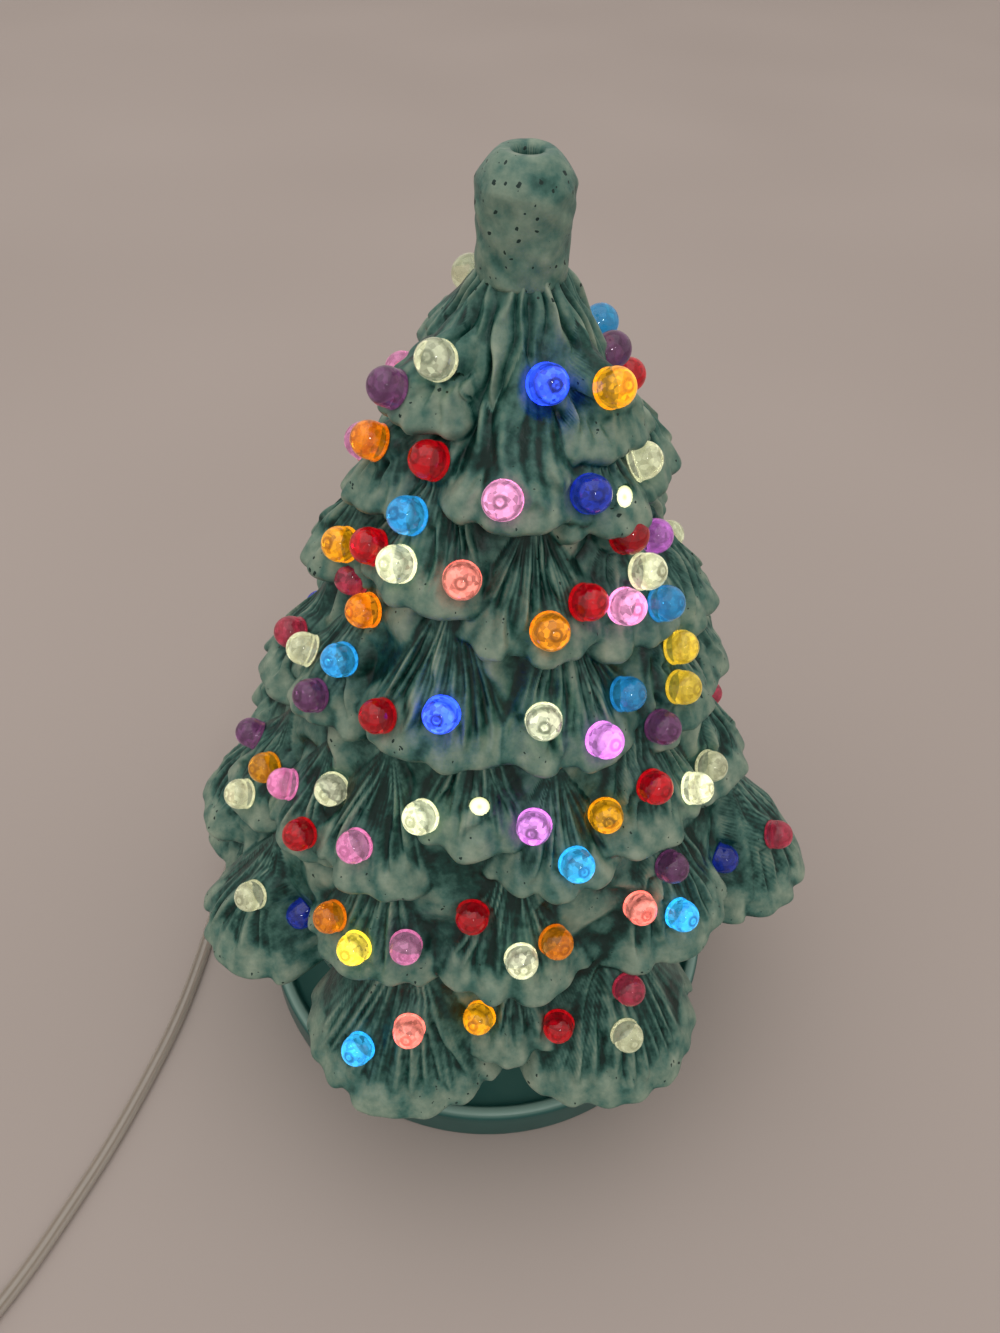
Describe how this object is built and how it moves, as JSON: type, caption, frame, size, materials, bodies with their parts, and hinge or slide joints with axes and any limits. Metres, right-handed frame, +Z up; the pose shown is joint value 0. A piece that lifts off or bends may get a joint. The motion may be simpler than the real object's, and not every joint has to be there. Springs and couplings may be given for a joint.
{
  "type": "ceramic christmas tree",
  "caption": "Hollow glazed ceramic Christmas tree with plug-in bulbs, lifting off a round lamp base with a screw-in lamp and a corded thumbwheel switch.",
  "frame": {"origin": "centre of the base's foot, on the table", "axes": "+Z up the tree's axis, -Y towards the viewer of the picture, +X to the viewer's right"},
  "size_m": [0.2883, 0.451, 0.312],
  "materials": {
    "base_glaze": "glossy dark teal glaze",
    "tree_glaze": "mottled satin green glaze",
    "socket_plastic": "moulded",
    "brass": "plain",
    "spring_steel": "spring temper",
    "solder": "soldered",
    "lamp_insulator": "vitrite",
    "lamp_glass": "clear",
    "lamp_stem": "clear",
    "lamp_filament": "tungsten",
    "cord": "clear vinyl over copper",
    "tie": "plain",
    "switch_plastic": "moulded",
    "switch_wheel": "ribbed",
    "screw_steel": "plated",
    "plug_plastic": "moulded clear vinyl",
    "bulbs_clear": "clear moulded",
    "bulbs_red": "clear moulded",
    "bulbs_amber": "clear moulded",
    "bulbs_yellow": "clear moulded",
    "bulbs_orange": "clear moulded",
    "bulbs_azure": "clear moulded",
    "bulbs_blue": "clear moulded",
    "bulbs_purple": "clear moulded",
    "bulbs_violet": "clear moulded",
    "bulbs_pink": "clear moulded",
    "bulbs_salmon": "clear moulded",
    "bulbs_rose": "clear moulded"
  },
  "bodies": {
    "base": {"base": "base_glaze", "socket_sleeve": "socket_plastic", "socket_screw_shell": "brass", "socket_contact": "brass", "socket_clips": "spring_steel", "cord_inside": "cord", "cord_lead": "cord", "cord_tail": "cord", "cord_coil": "cord", "cord_end": "cord", "coil_tie": "tie", "switch_lower": "switch_plastic", "switch_upper": "switch_plastic", "switch_screw": "screw_steel", "plug_body": "plug_plastic", "plug_blades": "brass"},
    "tree": {"tree_shell": "tree_glaze", "bulbs_clear": "bulbs_clear", "bulbs_red": "bulbs_red", "bulbs_amber": "bulbs_amber", "bulbs_yellow": "bulbs_yellow", "bulbs_orange": "bulbs_orange", "bulbs_azure": "bulbs_azure", "bulbs_blue": "bulbs_blue", "bulbs_purple": "bulbs_purple", "bulbs_violet": "bulbs_violet", "bulbs_pink": "bulbs_pink", "bulbs_salmon": "bulbs_salmon", "bulbs_rose": "bulbs_rose"},
    "lamp": {"lamp_button": "solder", "lamp_insulator": "lamp_insulator", "lamp_cap": "brass", "lamp_glass": "lamp_glass", "lamp_stem": "lamp_stem", "lamp_filament": "lamp_filament"},
    "wheel": {"switch_wheel": "switch_wheel"}
  },
  "joints": [
    {"name": "tree_lift", "type": "slide", "parent": "base", "child": "tree", "axis": [0, 0, 1], "range_m": [0, 0.08]},
    {"name": "lamp_turn", "type": "hinge", "parent": "base", "child": "lamp", "pos_m": [0, 0, 0.055], "axis": [0, 0, 1], "range_deg": [0, 1800]},
    {"name": "wheel_turn", "type": "hinge", "parent": "base", "child": "wheel", "pos_m": [-0.166, -0.237, 0.0072], "axis": [1, 0, 0], "continuous": true}
  ]
}
